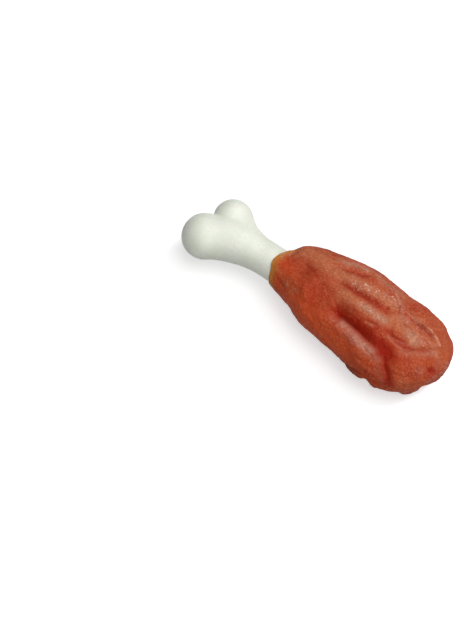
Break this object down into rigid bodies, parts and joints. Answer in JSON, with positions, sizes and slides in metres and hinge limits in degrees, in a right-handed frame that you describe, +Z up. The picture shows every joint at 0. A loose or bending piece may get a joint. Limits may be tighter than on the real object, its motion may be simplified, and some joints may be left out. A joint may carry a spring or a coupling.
{
  "type": "duck wrapped chew bone",
  "caption": "Dog chew: dried duck meat with long folds, wrapped round the shaft of a white moulded bone whose unequal lobes stick out at one end.",
  "frame": {"origin": "centre of the object's box at the level it rests on", "axes": "+X along the length towards the meat's round end, +Y towards the smaller lobe's side, +Z up through the folded face"},
  "size_m": [0.0896, 0.031, 0.02],
  "materials": {
    "pressed_calcium": "smooth, off-white, faintly green in the shade, low sheen",
    "dried_duck_meat": "translucent red-brown, fine-grained, slightly moist sheen, amber where it is thin"
  },
  "bodies": {
    "root": {"bone": "pressed_calcium", "meat": "dried_duck_meat"}
  },
  "joints": []
}
